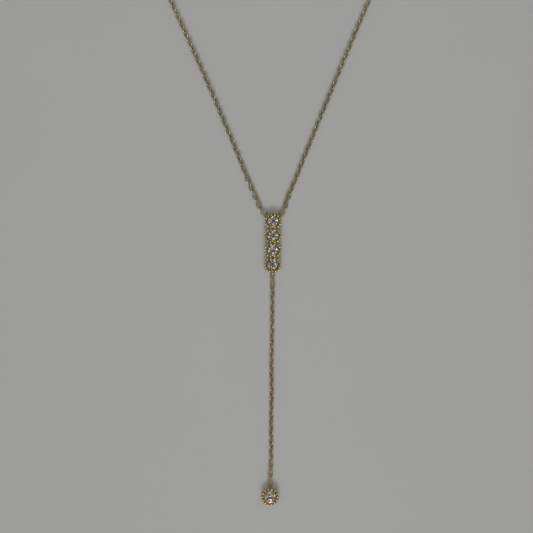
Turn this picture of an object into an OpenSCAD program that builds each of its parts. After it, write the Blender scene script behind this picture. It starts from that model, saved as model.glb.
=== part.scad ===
// Y necklace lying on a surface: a whole neck loop of fine cable chain, a bar of
// four round stones in beaded cups, and a drop chain with a fifth stone.
// Millimetres. The origin is on the flat back of the bar, midway between its
// second and third stones. +Y runs along the bar from the drop towards the neck
// loop, +X to the right seen from above, +Z up off the surface (z = 0).

/* [Stones] */
// Girdle diameter of the four stones in the bar
stone_d = 1.96; // [1.92:0.01:1.98]
// Girdle diameter of the stone in the drop
drop_stone_d = 2.08; // [2.04:0.01:2.12]
// Depth of a stone below its girdle, as a share of its diameter
pavilion_share = 0.415; // [0.41:0.005:0.44]
// Height of a stone above its girdle, as a share of its diameter
crown_share = 0.15; // [0.13:0.005:0.17]

/* [Bar] */
// Distance between the centres of neighbouring stones in the bar
pitch = 3.04; // [3.0:0.01:3.08]
// Outer radius of each cup in the bar
cup_r = 1.62; // [1.6:0.01:1.64]
// Height of the cup's shelf, which the beads stand on
shelf_h = 1.2; // [1.15:0.01:1.25]
// Radius of one bead in the bar
bead_r = 0.3; // [0.28:0.005:0.305]
// Width of the web that joins two neighbouring cups
web_w = 1.6; // [1.5:0.05:1.7]
// Angle of the left upper loop from the bar's long axis
left_loop_angle = 50; // [48:1:52]
// Angle of the right upper loop from the bar's long axis
right_loop_angle = 46; // [44:1:48]

/* [Drop] */
// Distance from the bar's centre down to the drop's centre
drop_y = 53.3; // [53.2:0.05:53.4]
// How far the drop lies to the right of the bar's axis, minus for left
drop_x = -0.05; // [-0.15:0.05:0]
// Outer radius of the drop's cup
drop_cup_r = 1.77; // [1.75:0.01:1.79]
// Radius of the circle that the drop's bead centres lie on
drop_bead_ring_r = 1.61; // [1.59:0.01:1.63]
// Radius of one bead in the drop
drop_bead_r = 0.33; // [0.31:0.01:0.34]

/* [Chain] */
// Outer length of one link
link_len = 1.64; // [1.62:0.01:1.66]
// Outer width of one link, which is also the diameter of the chain as a tube
link_w = 1.1; // [1.06:0.01:1.12]
// Thickness of the links' wire
wire_d = 0.3; // [0.28:0.01:0.31]
// Longest distance between two rings of a chain's tube
ring_step = 8; // [7.5:0.5:10]

/* [Clasp] */
// Length of the clasp's barrel
clasp_len = 7; // [6.8:0.1:7.2]
// Diameter of the clasp's barrel
clasp_d = 2; // [1.9:0.05:2]

/* [Hidden] */

gold = [0.76, 0.6, 0.33];
stone_colour = [0.9, 0.93, 0.96];

bar_stones = 4;
drop_beads = 14;
girdle_t = 0.06;          // thickness of a stone's girdle
seat_gap = 0.03;          // air between a stone and its cup
hole_r = 0.55;            // open back under each stone
loop_r = 0.33;            // mean radius of the small soldered loops
loop_wire = 0.26;         // their wire

tube_r = link_w / 2;      // the chain lies with its axis this far up
link_reach = link_len / 2 - wire_d / 2;   // link centre to the middle of its end wire
bar_y = (bar_stones - 1) / 2 * pitch;     // bar centre to the first stone
loop_out = 0.2;           // cup wall to loop centre
loop_at = cup_r + loop_out;               // cup centre to loop centre
link_at = loop_at + link_reach;           // cup centre to link centre
drop_loop_at = drop_cup_r + loop_out;     // drop centre to loop centre
drop_link_y = -drop_y + drop_loop_at + link_reach;  // last link above the drop
drop_turn = 360 / drop_beads;

// The bar's beads, as [x, y] from the centre of their cup. Each table is one
// quarter of a cup, counted from its side bead, and the others mirror it.
side_bead = [1.61, 0];
joint_beads = [[1.47, 0.6], [1.1, 1.06], [0.43, 1.25]];  // towards the next cup
top_beads = [[1.45, 0.62], [1, 1.12], [0.34, 1.33]];     // at the bar's upper end
foot_beads = [[1.48, 0.58], [1.2, 1.12], [0.64, 1.34]];  // at its lower end
foot_bead = [0, 1.38];    // the lower end's middle bead, on the bar's axis
post_r = 0.3;             // posts under the lower end's corner beads

// Where the two halves of the neck loop run, from the bar to the clasp, as
// [x, y, z]. The first five or six points of each follow the photograph's two
// legs, and the rest is the plain way round.
left_route = [
    [-2.6, 6.95, 0.55], [-3.15, 8.2, 0.55], [-4.45, 11.1, 0.55], [-8.85, 21.5, 0.55],
    [-14.35, 34.1, 0.55], [-22.05, 50.8, 0.55], [-31.5, 70.5, 0.55], [-41.4, 91, 0.55],
    [-50.4, 110.5, 0.55], [-55.9, 128, 0.55], [-56, 145, 0.55], [-50, 162, 0.55],
    [-38, 176.4, 0.55], [-22.5, 185.8, 0.55], [-13.5, 188.5, 0.55],
    [-10.4, 189.2, 0.75], [-8.1, 189.5, 1]];
right_route = [
    [2.4, 7.15, 0.55], [2.7, 8.5, 0.55], [3.8, 11.3, 0.55], [7.85, 21.7, 0.55],
    [12.85, 34.3, 0.55], [19.75, 51.2, 0.55], [28.1, 71, 0.55], [37.2, 91.5, 0.55],
    [45.5, 111, 0.55], [50.4, 128, 0.55], [50.6, 145, 0.55], [44.6, 162, 0.55],
    [32.6, 176.4, 0.55], [17.1, 185.8, 0.55], [8.1, 188.5, 0.55],
    [5, 189.2, 0.75], [2.7, 189.5, 1]];
// The drop's chain, from just below the bar to just above the drop's link
drop_route = [
    [0, -8, 0.55], [0.03, -15, 0.55], [0.02, -21, 0.55], [-0.03, -26, 0.55],
    [0.08, -32, 0.55], [0, -38, 0.55], [0.09, -45, 0.55], [-0.05, -49.72, 0.55]];
clasp_at = [-2.7, 189.6, 1];

// ---- smooth tube along a route ----

// Slope at point i of route p, weighted by the lengths on both sides of it
function slope(p, i) =
    let (n = len(p) - 1,
         a = i > 0 ? norm(p[i] - p[i - 1]) : 1,
         b = i < n ? norm(p[i + 1] - p[i]) : 1)
    i == 0 ? (p[1] - p[0]) / b :
    i == n ? (p[n] - p[n - 1]) / a :
    ((p[i] - p[i - 1]) / a * b + (p[i + 1] - p[i]) / b * a) / (a + b);

// Point and direction at share t of stretch i, never lower than the chain lies
function spot(p, i, t) =
    let (d = norm(p[i + 1] - p[i]), m = slope(p, i) * d, k = slope(p, i + 1) * d,
         pos = (2*t*t*t - 3*t*t + 1) * p[i] + (t*t*t - 2*t*t + t) * m
             + (3*t*t - 2*t*t*t) * p[i + 1] + (t*t*t - t*t) * k,
         dir = (6*t*t - 6*t) * p[i] + (3*t*t - 4*t + 1) * m
             + (6*t - 6*t*t) * p[i + 1] + (3*t*t - 2*t) * k)
    [[pos.x, pos.y, max(pos.z, tube_r)], dir];

// Rings of the tube: a few for each stretch, and one at the end
function spots(p, step) = concat(
    [for (i = [0 : len(p) - 2])
        let (n = max(1, ceil(norm(p[i + 1] - p[i]) / step)))
        for (j = [0 : n - 1]) spot(p, i, j / n)],
    [spot(p, len(p) - 2, 1)]);

// Eight corners around a point, flat side down, square to the level direction
function ring_8(s, r) =
    let (h = norm([s[1].x, s[1].y]), side = [s[1].y / h, -s[1].x / h, 0],
         c = r / cos(22.5))
    [for (j = [0 : 7]) let (a = 22.5 + 45 * j)
        s[0] + c * cos(a) * side + c * sin(a) * [0, 0, 1]];

module chain_tube(route, r) {
    s = spots(route, ring_step);
    n = len(s);
    polyhedron(
        points = [for (q = s) each ring_8(q, r)],
        faces = concat(
            [[for (j = [0 : 7]) j], [for (j = [7 : -1 : 0]) (n - 1) * 8 + j]],
            [for (i = [0 : n - 2]) for (j = [0 : 7])
                let (a = i * 8 + j, b = i * 8 + (j + 1) % 8)
                each [[a, a + 8, b], [b, a + 8, b + 8]]]));
}

// ---- one link: a closed wire along a long O in the XY plane, long way in X ----
module link() {
    r = wire_d / 2;
    bend = link_w / 2 - r;
    half = link_len / 2 - link_w / 2;
    per = 7;
    path = concat(
        [for (i = [0 : per - 1]) let (a = -90 + 180 * i / (per - 1))
            [half + bend * cos(a), bend * sin(a), a]],
        [for (i = [0 : per - 1]) let (a = 90 + 180 * i / (per - 1))
            [-half + bend * cos(a), bend * sin(a), a]]);
    n = len(path);
    polyhedron(
        points = [for (q = path) for (j = [0 : 7]) let (a = 22.5 + 45 * j)
            [q.x + r * cos(a) * cos(q.z), q.y + r * cos(a) * sin(q.z), r * sin(a)]],
        faces = [for (i = [0 : n - 1]) for (j = [0 : 7])
            let (a = i * 8 + j, b = i * 8 + (j + 1) % 8,
                 c = (i + 1) % n * 8 + j, d = (i + 1) % n * 8 + (j + 1) % 8)
            each [[a, b, c], [b, d, c]]]);
}

// ---- stones ----
module stone(d, z) {
    r = d / 2;
    table_r = 0.56 * r;
    rotate_extrude($fn = 48)
        polygon([[0, z - pavilion_share * d], [r, z], [r, z + girdle_t],
                 [table_r, z + girdle_t + crown_share * d],
                 [0, z + girdle_t + crown_share * d]]);
}

girdle_z = shelf_h + 0.06;

// ---- a cup: open back, seat for the stone, burnished lip, shelf for beads ----
module cup(r, d) {
    s = d / 2 + seat_gap;
    lip = d / 2 - 0.02;
    drop = pavilion_share * d / (d / 2);
    rotate_extrude($fn = 64)
        polygon([[hole_r, 0], [r - 0.06, 0], [r, 0.06], [r, shelf_h - 0.05],
                 [r - 0.05, shelf_h], [s + 0.2, shelf_h],
                 [s + 0.12, shelf_h + 0.24], [lip + 0.06, shelf_h + 0.27],
                 [lip, shelf_h + 0.22], [s, shelf_h + 0.17],
                 [s, shelf_h + 0.03], [hole_r, shelf_h + 0.03 - drop * (s - hole_r)]]);
}

module bead(x, y, r) {
    translate([x, y, shelf_h + 0.04]) sphere(r = r, $fn = 32);
}

// One half of a cup's beads, above its centre for s = 1 and below it for s = -1
module half_beads(table, s) {
    for (q = table) for (m = [-1, 1]) bead(m * q.x, s * q.y, bead_r);
}

// A small round loop standing on its edge, in the plane of the Y and Z axes
module standing_loop() {
    rotate([0, 90, 0]) rotate_extrude($fn = 32)
        translate([loop_r, 0]) circle(d = loop_wire, $fn = 24);
}

// ---- nodes ----
module bar() {
    last = bar_stones - 1;
    color(gold) union() {
        for (i = [0 : last]) translate([0, bar_y - i * pitch, 0]) {
            cup(cup_r, stone_d);
            for (m = [-1, 1]) bead(m * side_bead.x, side_bead.y, bead_r);
            half_beads(i == 0 ? top_beads : joint_beads, 1);
            half_beads(i == last ? foot_beads : joint_beads, -1);
        }
        translate([0, -bar_y, 0]) {
            bead(foot_bead.x, -foot_bead.y, bead_r);
            for (m = [-1, 1]) translate([m * foot_beads[1].x, -foot_beads[1].y, 0])
                cylinder(r = post_r, h = shelf_h, $fn = 32);
        }
        for (i = [0 : last - 1]) translate([0, bar_y - (i + 0.5) * pitch, 0])
            translate([-web_w / 2, -0.5, 0]) cube([web_w, 1, shelf_h - 0.1]);
        for (a = [left_loop_angle, -right_loop_angle])
            translate([0, bar_y, 0]) rotate([0, 0, a])
                translate([0, loop_at, tube_r]) standing_loop();
        translate([0, -bar_y - loop_at, tube_r]) standing_loop();
    }
}

module bar_stone(i) {
    color(stone_colour) translate([0, bar_y - (i - 1) * pitch, 0]) stone(stone_d, girdle_z);
}

module drop_setting() {
    color(gold) translate([drop_x, -drop_y, 0]) union() {
        cup(drop_cup_r, drop_stone_d);
        for (k = [0 : drop_beads - 1])
            bead(drop_bead_ring_r * cos(drop_turn * k), drop_bead_ring_r * sin(drop_turn * k),
                 drop_bead_r);
        translate([0, drop_loop_at, tube_r]) standing_loop();
    }
}

module drop_stone() {
    color(stone_colour) translate([drop_x, -drop_y, 0]) stone(drop_stone_d, girdle_z);
}

module chain_left() { color(gold) chain_tube(left_route, tube_r); }
module chain_right() { color(gold) chain_tube(right_route, tube_r); }
module drop_chain() { color(gold) chain_tube(drop_route, tube_r); }

// First link of each leg, flat, through the bar's upper loops
module bar_link(angle) {
    color(gold) translate([0, bar_y, tube_r]) rotate([0, 0, 90 + angle])
        translate([link_at, 0, 0]) link();
}
module drop_link_top() {
    color(gold) translate([0, -bar_y - link_at, tube_r]) rotate([0, 0, 90]) link();
}
// Last link above the drop, flat, through the drop's loop
module drop_link_bottom() {
    color(gold) translate([drop_x, drop_link_y, tube_r]) rotate([0, 0, 90]) link();
}

// Closed barrel with a loop at each end
module clasp() {
    h = clasp_len / 2;
    r = clasp_d / 2;
    color(gold) translate(clasp_at) union() {
        rotate([0, 90, 0]) rotate_extrude($fn = 64)
            polygon([[0, -h], [r - 0.45, -h], [r - 0.12, -h + 0.18], [r, -h + 0.45],
                     [r, -0.1], [r - 0.1, -0.05], [r - 0.1, 0.05], [r, 0.1],
                     [r, h - 0.45], [r - 0.12, h - 0.18], [r - 0.45, h], [0, h]]);
        for (s = [-1, 1]) translate([s * (h + 0.25), 0, 0]) rotate([0, 0, 90]) standing_loop();
    }
}
module clasp_link(side) {
    color(gold) translate(clasp_at)
        translate([side * (clasp_len / 2 + 0.255 + link_reach), 0, 0]) link();
}

bar();
bar_stone(1);  // stone_1
bar_stone(2);  // stone_2
bar_stone(3);  // stone_3
bar_stone(4);  // stone_4
drop_setting();
drop_stone();
chain_left();
chain_right();
drop_chain();
bar_link(left_loop_angle);  // bar_link_left
bar_link(-right_loop_angle);  // bar_link_right
drop_link_top();
drop_link_bottom();
clasp();
clasp_link(-1);  // clasp_link_left
clasp_link(1);  // clasp_link_right
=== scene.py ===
"""Y necklace lying on a pale surface: cable chains of real links, a bar of four
brilliant cut stones in beaded cups, a drop with a fifth stone, a barrel clasp.
Metres in the scene; the tables below are in millimetres."""

import math
import random

import bmesh
import bpy
import numpy as np
from mathutils import Matrix, Vector


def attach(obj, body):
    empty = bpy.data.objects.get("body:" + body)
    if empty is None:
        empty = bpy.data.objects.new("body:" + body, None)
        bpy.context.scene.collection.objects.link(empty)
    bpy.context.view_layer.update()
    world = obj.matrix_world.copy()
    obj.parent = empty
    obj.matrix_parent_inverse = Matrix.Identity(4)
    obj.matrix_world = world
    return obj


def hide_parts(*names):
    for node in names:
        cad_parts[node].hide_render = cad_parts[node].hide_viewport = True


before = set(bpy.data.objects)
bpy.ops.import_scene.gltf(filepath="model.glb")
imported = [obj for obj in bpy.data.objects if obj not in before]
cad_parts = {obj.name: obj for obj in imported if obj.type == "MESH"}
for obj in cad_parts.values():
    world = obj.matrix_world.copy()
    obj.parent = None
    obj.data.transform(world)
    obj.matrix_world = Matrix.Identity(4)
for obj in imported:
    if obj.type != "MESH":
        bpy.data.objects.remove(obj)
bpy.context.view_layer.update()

MM = 0.001
scene = bpy.context.scene

# ------------------------------------------------------------------ camera
# Straight down, the part's +Y leaning 0.58 degrees right of the picture's top.
VIEW_AT = (-1.285, -4.97)
VIEW_WIDTH = 111.93
LENS, SENSOR = 135.0, 36.0
cam_data = bpy.data.cameras.new("camera")
cam_data.lens = LENS
cam_data.sensor_width = SENSOR
cam_data.clip_start = 0.01
cam = bpy.data.objects.new("camera", cam_data)
scene.collection.objects.link(cam)
cam.location = (
    VIEW_AT[0] * MM,
    VIEW_AT[1] * MM,
    (VIEW_WIDTH / 2 / (SENSOR / 2 / LENS) + 0.9) * MM,
)
cam.rotation_euler = (0, 0, math.radians(0.58))
scene.camera = cam

# ------------------------------------------------------------- dimensions
STONE_D, DROP_STONE_D = 1.96, 2.08
PAVILION, CROWN, GIRDLE = 0.415, 0.15, 0.06
PITCH, CUP_R, SHELF = 3.04, 1.62, 1.2
BEAD_R, POST_R = 0.30, 0.30
WEB_W = 1.6
LOOP_ANGLE = {-1: 50, 1: 46}
DROP_X, DROP_Y = -0.05, 53.3
DROP_CUP_R, DROP_RING_R, DROP_BEAD_R = 1.77, 1.61, 0.33
LINK_LEN, LINK_W, WIRE = 1.64, 1.10, 0.30
HOLE_R, LOOP_R, LOOP_WIRE, SEAT_GAP = 0.55, 0.33, 0.26, 0.03
TUBE_R = LINK_W / 2
REACH = LINK_LEN / 2 - WIRE / 2
BAR_Y = 1.5 * PITCH
LOOP_AT = CUP_R + 0.2
LINK_AT = LOOP_AT + REACH
DROP_LOOP_AT = DROP_CUP_R + 0.2
DROP_LINK_Y = -DROP_Y + DROP_LOOP_AT + REACH
GIRDLE_Z = SHELF + 0.06
CLASP_AT = (-2.7, 189.6, 1.0)
CLASP_LEN, CLASP_D = 7.0, 2.0

# beads of the bar's cups, as quarters counted from the side bead
SIDE_BEAD = (1.61, 0)
JOINT_BEADS = [(1.47, 0.6), (1.1, 1.06), (0.43, 1.25)]
TOP_BEADS = [(1.45, 0.62), (1.0, 1.12), (0.34, 1.33)]
FOOT_BEADS = [(1.48, 0.58), (1.2, 1.12), (0.64, 1.34)]
FOOT_BEAD = (0, 1.38)

LEFT_ROUTE = [
    (-2.6, 6.95, 0.55), (-3.15, 8.2, 0.55), (-4.45, 11.1, 0.55), (-8.85, 21.5, 0.55),
    (-14.35, 34.1, 0.55), (-22.05, 50.8, 0.55), (-31.5, 70.5, 0.55), (-41.4, 91, 0.55),
    (-50.4, 110.5, 0.55), (-55.9, 128, 0.55), (-56, 145, 0.55), (-50, 162, 0.55),
    (-38, 176.4, 0.55), (-22.5, 185.8, 0.55), (-13.5, 188.5, 0.55),
    (-10.4, 189.2, 0.75), (-8.1, 189.5, 1.0)]
RIGHT_ROUTE = [
    (2.4, 7.15, 0.55), (2.7, 8.5, 0.55), (3.8, 11.3, 0.55), (7.85, 21.7, 0.55),
    (12.85, 34.3, 0.55), (19.75, 51.2, 0.55), (28.1, 71, 0.55), (37.2, 91.5, 0.55),
    (45.5, 111, 0.55), (50.4, 128, 0.55), (50.6, 145, 0.55), (44.6, 162, 0.55),
    (32.6, 176.4, 0.55), (17.1, 185.8, 0.55), (8.1, 188.5, 0.55),
    (5, 189.2, 0.75), (2.7, 189.5, 1.0)]
DROP_ROUTE = [
    (0, -8, 0.55), (0.03, -15, 0.55), (0.02, -21, 0.55), (-0.03, -26, 0.55),
    (0.08, -32, 0.55), (0, -38, 0.55), (0.09, -45, 0.55), (-0.05, -49.72, 0.55)]


# ---------------------------------------------------------------- meshes
def new_mesh(name, verts, faces, tones=None):
    """A mesh object from points in millimetres."""
    me = bpy.data.meshes.new(name)
    me.from_pydata([tuple(v) for v in np.asarray(verts, float) * MM], [], faces)
    me.update()
    if tones is not None:
        a = me.attributes.new("tone", "FLOAT", "POINT")
        a.data.foreach_set("value", np.asarray(tones, np.float32))
    ob = bpy.data.objects.new(name, me)
    scene.collection.objects.link(ob)
    return ob


def smooth(ob, angle=38):
    me = ob.data
    me.polygons.foreach_set("use_smooth", [True] * len(me.polygons))
    me.set_sharp_from_angle(angle=math.radians(angle))
    me.update()


def lathe(profile, n):
    """Closed ring from a closed outline of (radius, height), turned about Z."""
    m = len(profile)
    verts = [
        (r * math.cos(2 * math.pi * i / n), r * math.sin(2 * math.pi * i / n), z)
        for i in range(n)
        for r, z in profile
    ]
    faces = []
    for i in range(n):
        j = (i + 1) % n
        for k in range(m):
            q = (k + 1) % m
            faces.append((i * m + k, j * m + k, j * m + q, i * m + q))
    return verts, faces


def solid_lathe(profile, n):
    """Closed body from an outline of (radius, height) that starts and ends on the axis."""
    inner = profile[1:-1]
    m = len(inner)
    verts = [
        (r * math.cos(2 * math.pi * i / n), r * math.sin(2 * math.pi * i / n), z)
        for i in range(n)
        for r, z in inner
    ]
    a, b = len(verts), len(verts) + 1
    verts += [(0, 0, profile[0][1]), (0, 0, profile[-1][1])]
    faces = []
    for i in range(n):
        j = (i + 1) % n
        for k in range(m - 1):
            faces.append((i * m + k, j * m + k, j * m + k + 1, i * m + k + 1))
        faces.append((a, j * m, i * m))
        faces.append((b, i * m + m - 1, j * m + m - 1))
    return verts, faces


def ball(r, n=28, m=14):
    verts, faces = [(0, 0, -r)], []
    for k in range(1, m):
        a = -math.pi / 2 + math.pi * k / m
        for i in range(n):
            b = 2 * math.pi * i / n
            verts.append((r * math.cos(a) * math.cos(b), r * math.cos(a) * math.sin(b), r * math.sin(a)))
    verts.append((0, 0, r))
    top = len(verts) - 1
    for i in range(n):
        j = (i + 1) % n
        faces.append((0, 1 + j, 1 + i))
        for k in range(m - 2):
            p, q = 1 + k * n, 1 + (k + 1) * n
            faces.append((p + i, p + j, q + j, q + i))
        faces.append((top, top - n + i, top - n + j))
    return verts, faces


def tube(path, r, n=12):
    """Closed wire along a closed flat path of (x, y), its outward direction included."""
    m = len(path)
    verts = []
    for x, y, nx, ny in path:
        for j in range(n):
            a = 2 * math.pi * j / n
            verts.append((x + r * math.cos(a) * nx, y + r * math.cos(a) * ny, r * math.sin(a)))
    faces = []
    for i in range(m):
        k = (i + 1) % m
        for j in range(n):
            q = (j + 1) % n
            faces.append((i * n + j, k * n + j, k * n + q, i * n + q))
    return verts, faces


def long_o(length, width, wire, bend_n=11, side_n=5):
    """Centre line of a link: two half circles and two straights, long way in X."""
    r = width / 2 - wire / 2
    half = length / 2 - width / 2
    path = []
    for s in (1, -1):
        for i in range(bend_n + 1):
            a = math.pi * (i / bend_n - 0.5)
            path.append((s * (half + r * math.cos(a)), s * r * math.sin(a), s * math.cos(a), s * math.sin(a)))
        for i in range(1, side_n):
            x = half - 2 * half * i / side_n
            path.append((s * x, s * r, 0, s))
    return path


def ring(r, n):
    return [
        (r * math.cos(a), r * math.sin(a), math.cos(a), math.sin(a))
        for a in (2 * math.pi * i / n for i in range(n))
    ]


def moved(part, matrix):
    verts, faces = part
    return [tuple(matrix @ Vector(v)) for v in verts], faces


def at(x, y, z):
    return Matrix.Translation((x, y, z))


def joined(parts):
    verts, faces = [], []
    for v, f in parts:
        k = len(verts)
        verts += list(v)
        faces += [tuple(i + k for i in q) for q in f]
    return verts, faces


def raw(part):
    """A loose object in millimetres, its faces turned outwards."""
    me = bpy.data.meshes.new("raw")
    me.from_pydata([tuple(v) for v in part[0]], [], part[1])
    bm = bmesh.new()
    bm.from_mesh(me)
    bmesh.ops.recalc_face_normals(bm, faces=bm.faces)
    bm.to_mesh(me)
    bm.free()
    ob = bpy.data.objects.new("raw", me)
    scene.collection.objects.link(ob)
    return ob


def fused(name, groups):
    """One solid from groups of closed bodies; the bodies of one group stay apart."""
    base = raw(joined(groups[0]))
    for g in groups[1:]:
        other = raw(joined(g))
        mod = base.modifiers.new("union", "BOOLEAN")
        mod.operation = "UNION"
        mod.solver = "MANIFOLD"
        mod.object = other
        graph = bpy.context.evaluated_depsgraph_get()
        made = bpy.data.meshes.new_from_object(base.evaluated_get(graph))
        base.modifiers.clear()
        old = base.data
        base.data = made
        bpy.data.meshes.remove(old)
        bpy.data.objects.remove(other)
    me = base.data
    bm = bmesh.new()
    bm.from_mesh(me)
    bmesh.ops.remove_doubles(bm, verts=bm.verts, dist=0.0004)
    bmesh.ops.dissolve_degenerate(bm, edges=bm.edges, dist=0.0004)
    bmesh.ops.triangulate(bm, faces=bm.faces)
    bmesh.ops.scale(bm, vec=(MM, MM, MM), verts=bm.verts)
    bm.to_mesh(me)
    bm.free()
    base.name = name
    me.name = name
    return base


# ---------------------------------------------------------------- gold
# tint and pale are the metal's own colours; side is a painted shade colour for steep faces, faded in between
# the two normal heights given before it; the last value is how much metal colour stays under the painted
# shade in hollows
def gold_material(name, tint=(0.77, 0.625, 0.32), pale=(0.87, 0.75, 0.46), grain=1.0, rough=0.17, side_shade_slopes=(0.15, 0.75), side=(0.47, 0.36, 0.175), hollow_shade_floor=0.2):
    m = bpy.data.materials.new(name)
    m.use_nodes = True
    nt = m.node_tree
    n, link = nt.nodes, nt.links
    shader = n["Principled BSDF"]
    shader.inputs["Metallic"].default_value = 1.0
    place = n.new("ShaderNodeTexCoord")

    def noise(scale, detail, rough=0.5):
        t = n.new("ShaderNodeTexNoise")
        t.inputs["Scale"].default_value = scale
        t.inputs["Detail"].default_value = detail
        t.inputs["Roughness"].default_value = rough
        link.new(place.outputs["Object"], t.inputs["Vector"])
        return t

    def spread(source, a, b, c, d):
        r = n.new("ShaderNodeMapRange")
        r.inputs["From Min"].default_value = a
        r.inputs["From Max"].default_value = b
        r.inputs["To Min"].default_value = c
        r.inputs["To Max"].default_value = d
        link.new(source, r.inputs["Value"])
        return r.outputs["Result"]

    broad = noise(900, 3)
    fine = noise(9000, 4, 0.6)
    # metal colour: patches of paler and deeper gold, and each link a shade of its own; along the chain the
    # links' shade also carries painted light, paler towards the neck
    tone = n.new("ShaderNodeAttribute")
    tone.attribute_name = "tone"
    patch = n.new("ShaderNodeMath")
    patch.operation = "ADD"
    link.new(spread(broad.outputs["Fac"], 0.3, 0.7, -0.1, 0.55), patch.inputs[0])
    link.new(tone.outputs["Fac"], patch.inputs[1])
    body = n.new("ShaderNodeMix")
    body.data_type = "RGBA"
    body.inputs["A"].default_value = (*tint, 1)
    body.inputs["B"].default_value = (*pale, 1)
    link.new(patch.outputs[0], body.inputs["Factor"])
    # painted shade: hollows between beads and under links, where the occlusion finds them, are painted darker
    # and browner
    hollow_occlusion = n.new("ShaderNodeAmbientOcclusion")
    hollow_occlusion.samples = 8
    hollow_occlusion.inputs["Distance"].default_value = 0.00035
    painted_hollow_shade = n.new("ShaderNodeMix")
    painted_hollow_shade.data_type = "RGBA"
    painted_hollow_shade.inputs["A"].default_value = (0.47, 0.36, 0.175, 1)
    link.new(spread(hollow_occlusion.outputs["AO"], 0.0, 0.5, hollow_shade_floor, 1.0), painted_hollow_shade.inputs["Factor"])
    link.new(body.outputs["Result"], painted_hollow_shade.inputs["B"])
    # painted shade: the steep faces are painted darker too, standing in for the darker surroundings and
    # shadowed floor they mirror
    facing = n.new("ShaderNodeNewGeometry")
    upward = n.new("ShaderNodeSeparateXYZ")
    link.new(facing.outputs["Normal"], upward.inputs["Vector"])
    painted_side_shade = n.new("ShaderNodeMix")
    painted_side_shade.data_type = "RGBA"
    painted_side_shade.inputs["A"].default_value = (*side, 1)
    link.new(spread(upward.outputs["Z"], *side_shade_slopes, 0.0, 1.0), painted_side_shade.inputs["Factor"])
    link.new(painted_hollow_shade.outputs["Result"], painted_side_shade.inputs["B"])
    link.new(painted_side_shade.outputs["Result"], shader.inputs["Base Color"])
    # polish: soft wear, a little rougher where the fine grain shows
    gloss = n.new("ShaderNodeMath")
    gloss.operation = "ADD"
    link.new(spread(broad.outputs["Fac"], 0.3, 0.7, rough, rough + 0.14), gloss.inputs[0])
    link.new(spread(fine.outputs["Fac"], 0.35, 0.75, 0.0, 0.1), gloss.inputs[1])
    link.new(gloss.outputs[0], shader.inputs["Roughness"])
    bump = n.new("ShaderNodeBump")
    bump.inputs["Strength"].default_value = 0.35 * grain
    bump.inputs["Distance"].default_value = 0.000006
    link.new(fine.outputs["Fac"], bump.inputs["Height"])
    link.new(bump.outputs["Normal"], shader.inputs["Normal"])
    return m


def stone_material():
    m = bpy.data.materials.new("clear_stone")
    m.use_nodes = True
    nt = m.node_tree
    n, link = nt.nodes, nt.links
    shader = n["Principled BSDF"]
    shader.inputs["Transmission Weight"].default_value = 1.0
    shader.inputs["IOR"].default_value = 2.4
    place = n.new("ShaderNodeTexCoord")
    haze = n.new("ShaderNodeTexNoise")
    haze.inputs["Scale"].default_value = 2500
    haze.inputs["Detail"].default_value = 3
    link.new(place.outputs["Object"], haze.inputs["Vector"])
    ramp = n.new("ShaderNodeMapRange")
    ramp.inputs["From Min"].default_value = 0.35
    ramp.inputs["From Max"].default_value = 0.7
    ramp.inputs["To Min"].default_value = 0.0
    ramp.inputs["To Max"].default_value = 0.02
    link.new(haze.outputs["Fac"], ramp.inputs["Value"])
    link.new(ramp.outputs["Result"], shader.inputs["Roughness"])
    tint = n.new("ShaderNodeMix")
    tint.data_type = "RGBA"
    tint.inputs["A"].default_value = (0.96, 0.93, 0.865, 1)
    tint.inputs["B"].default_value = (0.91, 0.88, 0.805, 1)
    link.new(haze.outputs["Fac"], tint.inputs["Factor"])
    link.new(tint.outputs["Result"], shader.inputs["Base Color"])
    return m


GOLD_CAST = gold_material("cast_gold", side_shade_slopes=(0.28, 0.86), side=(0.37, 0.28, 0.13))
# the drop's copy of the same cast gold, painted a little paler than the bar's, with more painted shade on its
# steep faces and less in its hollows
GOLD_DROP = gold_material("cast_gold_drop", (0.79, 0.64, 0.33), (0.89, 0.77, 0.47), side_shade_slopes=(0.42, 0.93), side=(0.39, 0.3, 0.14), hollow_shade_floor=0.35)
GOLD_WIRE = gold_material("drawn_gold", (0.555, 0.465, 0.275), (0.72, 0.63, 0.415), 0.6, 0.3)
GOLD_POLISHED = gold_material("polished_gold", grain=0.4)
STONE = stone_material()


def dress(ob, material, slot, *nodes):
    ob.data.materials.clear()
    ob.data.materials.append(material)
    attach(ob, "root")
    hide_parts(*nodes)
    return ob


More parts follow.
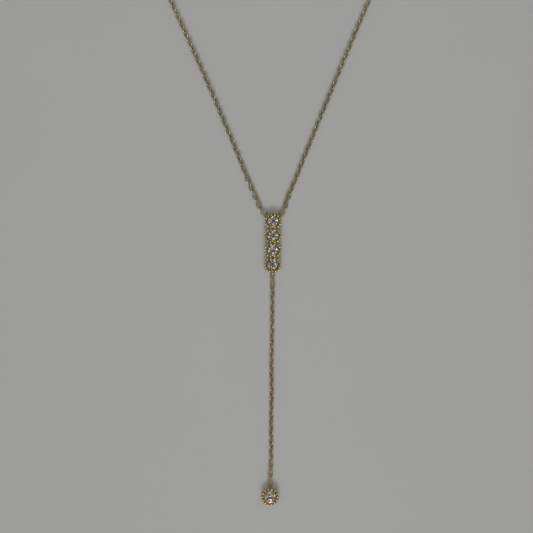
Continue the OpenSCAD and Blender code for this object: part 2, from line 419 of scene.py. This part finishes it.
# ---------------------------------------------------------------- stones
def brilliant(d, z, turn, tilt=(0.0, 0.0)):
    """Round brilliant: table, 8 stars, 8 kites, 16 upper and 16 lower girdle
    facets, 8 pavilion mains, a scalloped girdle. z is the girdle's lower edge."""
    R = d / 2
    rt, zt = 0.56 * R, z + GIRDLE + CROWN * d
    zg, zu, zc = z, z + GIRDLE, z - PAVILION * d
    mid = rt * math.cos(math.pi / 8)
    rs = mid + 0.5 * (R - mid)
    zs = zt - (zt - zu) * (rs * math.cos(math.pi / 8) - rt) / (R - rt)
    rl = 0.24 * R
    zl = zc + (zg - zc) * (rl * math.cos(math.pi / 8) / R)
    SUB = 4

    def pt(r, a, h):
        return Vector((r * math.cos(a), r * math.sin(a), h))

    verts, faces = [], []

    def add(v):
        verts.append(tuple(v))
        return len(verts) - 1

    table = [add(pt(rt, k * math.pi / 4, zt)) for k in range(8)]
    star = [add(pt(rs, (k + 0.5) * math.pi / 4, zs)) for k in range(8)]
    tip = [add(pt(rl, (k + 0.5) * math.pi / 4, zl)) for k in range(8)]
    culet = add((0, 0, zc))

    def rim(apex, h):
        """Rim points under a girdle facet, each on the facet's plane."""
        out = []
        for k in range(16):
            a0, a1 = k * math.pi / 8, (k + 1) * math.pi / 8
            g0, g1 = pt(R, a0, h), pt(R, a1, h)
            s = Vector(verts[apex[k // 2]])
            nrm = (g1 - g0).cross(s - g0)
            row = []
            for j in range(SUB):
                a = a0 + (a1 - a0) * j / SUB
                p = pt(R, a, h)
                if j:
                    p.z = h - ((p.x - g0.x) * nrm.x + (p.y - g0.y) * nrm.y) / nrm.z
                row.append(add(p))
            out.append(row)
        return out

    upper, lower = rim(star, zu), rim(tip, zg)
    faces.append(tuple(table))
    for k in range(8):
        faces.append((table[k], star[k], table[(k + 1) % 8]))
        g = upper[2 * k][0]
        faces.append((table[k], star[k - 1], g, star[k]))
        faces.append((culet, tip[k], lower[2 * k][0], tip[k - 1]))
    for k in range(16):
        nxt = upper[(k + 1) % 16][0]
        faces.append((star[k // 2], *upper[k], nxt))
        nxt = lower[(k + 1) % 16][0]
        faces.append((tip[k // 2], nxt, *reversed(lower[k])))
    up = [v for row in upper for v in row]
    lo = [v for row in lower for v in row]
    for i in range(len(up)):
        j = (i + 1) % len(up)
        faces.append((up[i], lo[i], lo[j], up[j]))
    spin = Matrix.Rotation(math.radians(turn), 4, "Z")
    lean = Matrix.Rotation(math.radians(tilt[0]), 4, "X") @ Matrix.Rotation(math.radians(tilt[1]), 4, "Y")
    hub = Vector((0, 0, zu))
    return [tuple(lean @ (spin @ Vector(v) - hub) + hub) for v in verts], faces


def stone_piece(name, node, x, y, d, turn, tilt):
    part = moved(brilliant(d, GIRDLE_Z, turn, tilt), at(x, y, 0))
    ob = new_mesh(name, *part)
    bm = bmesh.new()
    bm.from_mesh(ob.data)
    bmesh.ops.recalc_face_normals(bm, faces=bm.faces)
    bm.to_mesh(ob.data)
    bm.free()
    return dress(ob, STONE, "stone", node)


STONES = [
    ("brilliant_1", "stone_1", 0, BAR_Y, STONE_D, 34, (2.0, -1.8)),
    ("brilliant_2", "stone_2", 0, BAR_Y - PITCH, STONE_D, 35, (0.0, 0.2)),
    ("brilliant_3", "stone_3", 0, BAR_Y - 2 * PITCH, STONE_D, 35, (2.0, 0.0)),
    ("brilliant_4", "stone_4", 0, BAR_Y - 3 * PITCH, STONE_D, 0, (-2.0, -2.0)),
    ("brilliant_drop", "drop_stone", DROP_X, -DROP_Y, DROP_STONE_D, 34, (0.0, 1.6)),
]
for row in STONES:
    stone_piece(*row)


# ---------------------------------------------------------------- settings
def cup(r, d, soft=False):
    """Open backed cup: seat under the stone, burnished lip, shelf for the beads.
    The lip stands in a narrow groove, or runs out softly under the beads."""
    s = d / 2 + SEAT_GAP
    lip = d / 2 - 0.02
    fall = PAVILION * d / (d / 2)
    foot = [(0.2, 0), (0.17, 0.1), (0.12, 0.2), (0.085, 0.25)]
    if soft:
        foot = [(0.42, 0), (0.34, 0.03), (0.26, 0.08), (0.19, 0.15), (0.13, 0.22), (0.085, 0.255)]
    outline = [
        (HOLE_R + 0.05, 0), (r - 0.08, 0), (r - 0.02, 0.02), (r, 0.08),
        (r, SHELF - 0.1), (r - 0.015, SHELF - 0.04), (r - 0.05, SHELF),
        *[(s + x, SHELF + z) for x, z in foot],
        (lip + 0.055, SHELF + 0.27), (lip + 0.015, SHELF + 0.255),
        (lip, SHELF + 0.22), (s, SHELF + 0.17),
        (s, SHELF + 0.03), (HOLE_R, SHELF + 0.03 - fall * (s - HOLE_R)),
        (HOLE_R, 0.05),
    ]
    return lathe(outline, 112)


def beads(spots, r, seed, place=(0, 0)):
    """Hand raised beads at the given places, each a little different from the next."""
    rnd = random.Random(seed)
    out = []
    for x, y in spots:
        size = r * rnd.uniform(0.955, 1.0)
        x, y = x + place[0] + rnd.uniform(-0.01, 0.01), y + place[1] + rnd.uniform(-0.01, 0.01)
        out.append((x, y, size, moved(ball(size), at(x, y, SHELF + 0.04 + rnd.uniform(-0.015, 0.01)))))
    return out


def apart(balls):
    """The beads in groups, so that no two of one group touch."""
    groups = []
    for one in balls:
        for g in groups:
            if all(math.hypot(one[0] - q[0], one[1] - q[1]) > one[2] + q[2] + 0.01 for q in g):
                g.append(one)
                break
        else:
            groups.append([one])
    return [[q[3] for q in g] for g in groups]


def half_cup(table, s):
    return [(m * x, s * y) for x, y in table for m in (-1, 1)]


def block(w, d, h):
    """Plain web between two cups, standing on z = 0."""
    x, y = w / 2, d / 2
    verts = [(-x, -y, 0), (x, -y, 0), (x, y, 0), (-x, y, 0), (-x, -y, h), (x, -y, h), (x, y, h), (-x, y, h)]
    faces = [(3, 2, 1, 0), (4, 5, 6, 7), (0, 1, 5, 4), (1, 2, 6, 5), (2, 3, 7, 6), (3, 0, 4, 7)]
    return verts, faces


def standing_loop(x, y, z, along):
    """Small wire loop on its edge; along is the level direction of its plane."""
    m = (
        at(x, y, z)
        @ Matrix.Rotation(math.radians(along), 4, "Z")
        @ Matrix.Rotation(math.pi / 2, 4, "X")
    )
    return moved(tube(ring(LOOP_R, 44), LOOP_WIRE / 2, 18), m)


def solder(x, y, z, r, rise):
    """Two beads of solder, above and below, where a loop's wire meets the wall."""
    return [moved(ball(r, 24, 12), at(x, y, z + m * rise)) for m in (-1, 1)]


def make_bar():
    ys = [BAR_Y - i * PITCH for i in range(4)]
    cups = [moved(cup(CUP_R, STONE_D), at(0, y, 0)) for y in ys]
    webs = [moved(block(WEB_W, 1.0, SHELF - 0.1), at(0, BAR_Y - (i + 0.5) * PITCH, 0)) for i in range(3)]
    pearls = []
    for i, y in enumerate(ys):
        spots = [SIDE_BEAD, (-SIDE_BEAD[0], 0)]
        spots += half_cup(TOP_BEADS if i == 0 else JOINT_BEADS, 1)
        spots += half_cup(FOOT_BEADS if i == 3 else JOINT_BEADS, -1)
        if i == 3:
            spots.append((FOOT_BEAD[0], -FOOT_BEAD[1]))
        pearls += beads(spots, BEAD_R, 11 + i, (0, y))
    post = solid_lathe([(0, 0), (POST_R, 0), (POST_R, SHELF), (0, SHELF)], 40)
    posts = [moved(post, at(m * FOOT_BEADS[1][0], -BAR_Y - FOOT_BEADS[1][1], 0)) for m in (-1, 1)]
    loops, drops = [], []
    for side in (-1, 1):
        a = 90 - side * LOOP_ANGLE[side]
        c, s = math.cos(math.radians(a)), math.sin(math.radians(a))
        loops.append(standing_loop(LOOP_AT * c, BAR_Y + LOOP_AT * s, TUBE_R, a))
        drops += solder(CUP_R * c, BAR_Y + CUP_R * s, TUBE_R, 0.155, 0.27)
    loops.append(standing_loop(0, -BAR_Y - LOOP_AT, TUBE_R, -90))
    drops += solder(0, -BAR_Y - CUP_R, TUBE_R, 0.155, 0.27)
    groups = [[cups[0], cups[2]], [cups[1], cups[3]], webs, posts]
    ob = fused("beaded_bar", groups + apart(pearls) + [loops, drops])
    smooth(ob)
    return dress(ob, GOLD_CAST, "gold", "bar")


def make_drop():
    body = cup(DROP_CUP_R, DROP_STONE_D, soft=True)
    turn = 2 * math.pi / 14
    pearls = beads([(DROP_RING_R * math.cos(k * turn), DROP_RING_R * math.sin(k * turn)) for k in range(14)], DROP_BEAD_R, 31)
    loop = standing_loop(0, DROP_LOOP_AT, TUBE_R, 90)
    blobs = solder(0, DROP_CUP_R, TUBE_R, 0.155, 0.27)
    place = at(DROP_X, -DROP_Y, 0)
    groups = [[body]] + apart(pearls) + [[loop], blobs]
    ob = fused("beaded_drop", [[moved(p, place) for p in g] for g in groups])
    smooth(ob)
    return dress(ob, GOLD_DROP, "gold", "drop_setting")


make_bar()
make_drop()


# ---------------------------------------------------------------- chains
def path_of(points, steps=60):
    """Smooth path through the points, in small steps: place and length so far."""
    p = [Vector(q) for q in points]
    n = len(p) - 1

    def slope(i):
        if i == 0:
            return (p[1] - p[0]).normalized()
        if i == n:
            return (p[n] - p[n - 1]).normalized()
        a, b = (p[i] - p[i - 1]).length, (p[i + 1] - p[i]).length
        return ((p[i] - p[i - 1]) / a * b + (p[i + 1] - p[i]) / b * a) / (a + b)

    out = []
    for i in range(n):
        d = (p[i + 1] - p[i]).length
        m, k = slope(i) * d, slope(i + 1) * d
        for j in range(steps if i < n - 1 else steps + 1):
            t = j / steps
            q = (
                (2 * t**3 - 3 * t**2 + 1) * p[i] + (t**3 - 2 * t**2 + t) * m
                + (3 * t**2 - 2 * t**3) * p[i + 1] + (t**3 - t**2) * k
            )
            q.z = max(q.z, TUBE_R)
            out.append(q)
    xyz = np.array(out)
    run = np.concatenate([[0], np.cumsum(np.linalg.norm(np.diff(xyz, axis=0), axis=1))])
    return xyz, run


def along(xyz, run, s):
    return np.array([np.interp(s, run, xyz[:, c]) for c in range(3)])


def wander(count, seed, reach):
    """Slow random values between about -1 and 1, one a link."""
    rnd = random.Random(seed)
    knots = [rnd.uniform(-1, 1) for _ in range(count // reach + 3)]
    out = []
    for i in range(count):
        k, t = divmod(i / reach, 1)
        k = int(k)
        t = t * t * (3 - 2 * t)
        out.append(knots[k] * (1 - t) + knots[k + 1] * t)
    return out


LINK = tube(long_o(LINK_LEN, LINK_W, WIRE), WIRE / 2, 12)
LINK_V = np.array(LINK[0])


def link_places(points, seed, count, start, end, slack=0.0):
    """Places of all links of a chain. Every second link is turned by 90 degrees,
    and the whole chain slowly rolls over. start and end are (links that stay level,
    links until it has rolled over, roll in degrees) at the chain's two ends, and
    slack is how much closer than the rest its first three links lie."""
    xyz, run = path_of(points)
    total = run[-1]
    step = (total + slack) / count
    slow, fast = wander(count + 1, seed, 9), random.Random(seed + 1)
    mid = 45 if start[2] + end[2] >= 0 else -45

    def ease(t):
        t = min(1, max(0, t))
        return t * t * (3 - 2 * t)

    out = []
    for i in range(count + 1):
        s = max(0, i * step - slack * min(1, i / 3))
        c = along(xyz, run, s)
        a, b = along(xyz, run, max(0, s - 0.5)), along(xyz, run, min(total, s + 0.5))
        d = Vector(b - a).normalized()
        if 0.5 < s < total - 0.5:
            c = (a + b) / 2
        e0, e1 = ease((i - start[0]) / start[1]), ease((count - i - end[0]) / end[1])
        lean = start[2] * (1 - e0) + end[2] * (1 - e1) + (mid + 11 * slow[i]) * e0 * e1
        roll = lean + 90 * (i % 2) + e0 * e1 * fast.uniform(-4, 4)
        tall = max(abs(math.sin(math.radians(q))) for q in (lean, lean + 90, roll))
        z = c[2] - TUBE_R + WIRE / 2 + (TUBE_R - WIRE / 2) * tall + 0.002
        x_side = Vector((0, 0, 1)).cross(d).normalized()
        base = Matrix((d, x_side, d.cross(x_side))).transposed().to_4x4()
        m = at(c[0], c[1], z) @ base @ Matrix.Rotation(math.radians(roll), 4, "X")
        # painted light: the links are painted paler towards the neck and darker near the bar, standing in for
        # light that falls off along the chain
        painted_falloff = 0.45 * min(1, max(-1, (c[1] - 22) / 22)) if c[1] > 0 else 0
        out.append((m, fast.uniform(-0.1, 0.16) + painted_falloff))
    return out, total, step


def links(name, places, node):
    verts, faces, tones = [], [], []
    k = 0
    for m, tone in places:
        a = np.array(m)
        verts.append(LINK_V @ a[:3, :3].T + a[:3, 3])
        faces += [tuple(i + k for i in f) for f in LINK[1]]
        tones += [tone] * len(LINK_V)
        k += len(LINK_V)
    ob = new_mesh(name, np.vstack(verts), faces, tones)
    ob.data.polygons.foreach_set("use_smooth", [True] * len(ob.data.polygons))
    return dress(ob, GOLD_WIRE, "gold", node)


def end_link(side):
    a = math.radians(90 - side * LOOP_ANGLE[side])
    return (LINK_AT * math.cos(a), BAR_Y + LINK_AT * math.sin(a), TUBE_R)


def clasp_link(side):
    return (CLASP_AT[0] + side * (CLASP_LEN / 2 + 0.255 + REACH), CLASP_AT[1], CLASP_AT[2])


def level(point, turn):
    return at(*point) @ Matrix.Rotation(math.radians(turn), 4, "Z")


chain_facts = {}
for label, side, route, seed, count, start, slack in (
    ("left", -1, LEFT_ROUTE, 5, 220, (4, 11, 0), 0.0),
    ("right", 1, RIGHT_ROUTE, 6, 218, (1, 7, 0), 0.2),
):
    places, total, step = link_places(
        [end_link(side)] + route + [clasp_link(side)], seed, count, start, (3, 7, 0), slack)
    # the first link points at the bar's loop, the last along the clasp
    places[0] = (level(end_link(side), 90 - side * LOOP_ANGLE[side]), places[0][1])
    places[-1] = (level(clasp_link(side), 0), places[-1][1])
    links("chain_links_" + label, places[1:-1], "chain_" + label)
    links("end_link_bar_" + label, places[:1], "bar_link_" + label)
    links("end_link_clasp_" + label, places[-1:], "clasp_link_" + label)
    chain_facts[label] = (len(places), total, step)

drop_points = [(0, -BAR_Y - LINK_AT, TUBE_R)] + DROP_ROUTE + [(DROP_X, DROP_LINK_Y, TUBE_R)]
places, total, step = link_places(drop_points, 8, 43, (0, 7, 0), (1, 8, 90))
places[0] = (level(drop_points[0], 90), places[0][1])
places[-1] = (level(drop_points[-1], 90), places[-1][1])
links("chain_links_drop", places[1:-1], "drop_chain")
links("end_link_drop_top", places[:1], "drop_link_top")
links("end_link_drop_bottom", places[-1:], "drop_link_bottom")
chain_facts["drop"] = (len(places), total, step)
for k, v in chain_facts.items():
    print("CHAIN", k, v)


# ---------------------------------------------------------------- clasp
def make_clasp():
    h, r = CLASP_LEN / 2, CLASP_D / 2
    profile = [(0, -h)]
    edge = [(r - 0.45, -h), (r - 0.3, -h + 0.03), (r - 0.17, -h + 0.1), (r - 0.08, -h + 0.2), (r - 0.02, -h + 0.34), (r, -h + 0.5)]
    profile += edge
    for z in (-2.5, -2.2):
        profile += [(r, z - 0.06), (r - 0.045, z - 0.02), (r - 0.045, z + 0.02), (r, z + 0.06)]
    profile += [(r, -0.1), (r - 0.1, -0.045), (r - 0.1, 0.045), (r, 0.1)]
    for z in (2.2, 2.5):
        profile += [(r, z - 0.06), (r - 0.045, z - 0.02), (r - 0.045, z + 0.02), (r, z + 0.06)]
    profile += [(q, -z) for q, z in reversed(edge)] + [(0, h)]
    place = at(*CLASP_AT)
    barrel = moved(solid_lathe(profile, 96), place @ Matrix.Rotation(math.pi / 2, 4, "Y"))
    rings, drops = [], []
    for s in (-1, 1):
        x = CLASP_AT[0] + s * (h + 0.25)
        rings.append(standing_loop(x, CLASP_AT[1], CLASP_AT[2], 0))
        drops += solder(CLASP_AT[0] + s * (h - 0.02), CLASP_AT[1], CLASP_AT[2], 0.17, 0.24)
    ob = fused("barrel_clasp", [[barrel], rings, drops])
    smooth(ob, 30)
    return dress(ob, GOLD_POLISHED, "gold", "clasp")


make_clasp()

# ---------------------------------------------------------------- floor
me = bpy.data.meshes.new("floor")
S = 14.0
me.from_pydata([(-S, -S, 0), (S, -S, 0), (S, S, 0), (-S, S, 0)], [], [(0, 1, 2, 3)])
floor = bpy.data.objects.new("floor", me)
scene.collection.objects.link(floor)
fm = bpy.data.materials.new("floor")
fm.use_nodes = True
nt = fm.node_tree
bsdf = nt.nodes["Principled BSDF"]
bsdf.inputs["Roughness"].default_value = 0.85
bsdf.inputs["Specular IOR Level"].default_value = 0.15
tex = nt.nodes.new("ShaderNodeTexCoord")
speck = nt.nodes.new("ShaderNodeTexNoise")
speck.inputs["Scale"].default_value = 45
speck.inputs["Detail"].default_value = 3
nt.links.new(tex.outputs["Object"], speck.inputs["Vector"])
mix = nt.nodes.new("ShaderNodeMix")
mix.data_type = "RGBA"
mix.inputs["A"].default_value = (0.572, 0.572, 0.561, 1)
mix.inputs["B"].default_value = (0.594, 0.594, 0.583, 1)
nt.links.new(speck.outputs["Fac"], mix.inputs["Factor"])
# painted light: the floor is painted a little paler around the drop than further away, a painted pool of
# light
pool = nt.nodes.new("ShaderNodeMapping")
pool.inputs["Location"].default_value = (0, 0.03, 0)
pool.inputs["Scale"].default_value = (1, 0.5, 1)
nt.links.new(tex.outputs["Object"], pool.inputs["Vector"])
reach = nt.nodes.new("ShaderNodeVectorMath")
reach.operation = "LENGTH"
nt.links.new(pool.outputs["Vector"], reach.inputs[0])
dim = nt.nodes.new("ShaderNodeMapRange")
dim.inputs["From Min"].default_value = 0.0
dim.inputs["From Max"].default_value = 0.09
dim.inputs["To Min"].default_value = 1.0
dim.inputs["To Max"].default_value = 0.905
nt.links.new(reach.outputs["Value"], dim.inputs["Value"])
shade = nt.nodes.new("ShaderNodeVectorMath")
shade.operation = "SCALE"
nt.links.new(mix.outputs["Result"], shade.inputs[0])
nt.links.new(dim.outputs["Result"], shade.inputs["Scale"])
nt.links.new(shade.outputs["Vector"], bsdf.inputs["Base Color"])
# painted light: the floor glows a little, which lightens its shadows and the floor seen through the links
bsdf.inputs["Emission Color"].default_value = (1.0, 1.0, 0.98, 1)
bsdf.inputs["Emission Strength"].default_value = 0.06
me.materials.append(fm)

# ---------------------------------------------------------------- light
# A dim room that is pale only at the horizon, darkest overhead. Soft boxes light it:
# the key low over the bottom of the picture, a wide weak one above it, and three
# small ones near the top. Each is left, right, near and far edge in a plane one unit
# up, softness, strength.
SOFT_BOXES = [
    (-0.3, 0.3, -1.7, -1.08, 0.06, 12.7),
    (-0.45, 0.45, -1.0, -0.5, 0.06, 1.6),
    (-0.55, -0.3, -0.3, 0.0, 0.02, 1.3),
    (0.3, 0.6, -0.1, 0.2, 0.02, 1.3),
    (-0.1, 0.15, 0.35, 0.6, 0.02, 1.3),
]
world = bpy.data.worlds.new("room")
scene.world = world
world.use_nodes = True
wn = world.node_tree
for node in list(wn.nodes):
    wn.nodes.remove(node)
out = wn.nodes.new("ShaderNodeOutputWorld")
bg = wn.nodes.new("ShaderNodeBackground")
coord = wn.nodes.new("ShaderNodeTexCoord")
parts = wn.nodes.new("ShaderNodeSeparateXYZ")
ramp = wn.nodes.new("ShaderNodeValToRGB")
wn.links.new(coord.outputs["Generated"], parts.inputs["Vector"])
wn.links.new(parts.outputs["Z"], ramp.inputs["Fac"])
els = ramp.color_ramp.elements
els[0].position, els[0].color = 0.0, (0.32, 0.32, 0.315, 1)
els[1].position, els[1].color = 1.0, (0.045, 0.045, 0.044, 1)
for pos, v in ((0.08, 0.32), (0.2, 0.21), (0.75, 0.21), (0.88, 0.09)):
    e = els.new(pos)
    e.color = (v, v, v * 0.985, 1)


def calc(kind, a, b=None):
    """One maths node of the room; a and b are sockets or numbers."""
    node = wn.nodes.new("ShaderNodeMath")
    node.operation = kind
    for k, v in enumerate((a, b)):
        if v is None:
            continue
        if isinstance(v, (int, float)):
            node.inputs[k].default_value = v
        else:
            wn.links.new(v, node.inputs[k])
    return node.outputs[0]


def fade(value, a, b):
    """0 at a and 1 at b, smooth between."""
    node = wn.nodes.new("ShaderNodeMapRange")
    node.interpolation_type = "SMOOTHSTEP"
    node.inputs["From Min"].default_value = a
    node.inputs["From Max"].default_value = b
    wn.links.new(value, node.inputs["Value"])
    return node.outputs["Result"]


def box_light(x0, x1, y0, y1, soft):
    """A rectangle in the plane one unit up, its edges faded by soft."""
    up = calc("MAXIMUM", parts.outputs["Z"], 0.001)
    x, y = calc("DIVIDE", parts.outputs["X"], up), calc("DIVIDE", parts.outputs["Y"], up)
    a = calc("MULTIPLY", fade(x, x0 - soft, x0 + soft), fade(x, x1 + soft, x1 - soft))
    b = calc("MULTIPLY", fade(y, y0 - soft, y0 + soft), fade(y, y1 + soft, y1 - soft))
    return calc("MULTIPLY", calc("MULTIPLY", a, b), fade(parts.outputs["Z"], 0.02, 0.06))


lamp = None
for box in SOFT_BOXES:
    one = calc("MULTIPLY", box_light(*box[:5]), box[5])
    lamp = one if lamp is None else calc("ADD", lamp, one)
glow = wn.nodes.new("ShaderNodeVectorMath")
glow.operation = "SCALE"
glow.inputs[0].default_value = (1.0, 0.995, 0.985)
wn.links.new(lamp, glow.inputs["Scale"])
total_light = wn.nodes.new("ShaderNodeVectorMath")
total_light.operation = "ADD"
wn.links.new(ramp.outputs["Color"], total_light.inputs[0])
wn.links.new(glow.outputs[0], total_light.inputs[1])
wn.links.new(total_light.outputs[0], bg.inputs["Color"])
wn.links.new(bg.outputs["Background"], out.inputs["Surface"])
bg.inputs["Strength"].default_value = 1.0

scene.view_settings.view_transform = "Standard"
scene.view_settings.look = "None"
scene.view_settings.exposure = 0
scene.view_settings.gamma = 1
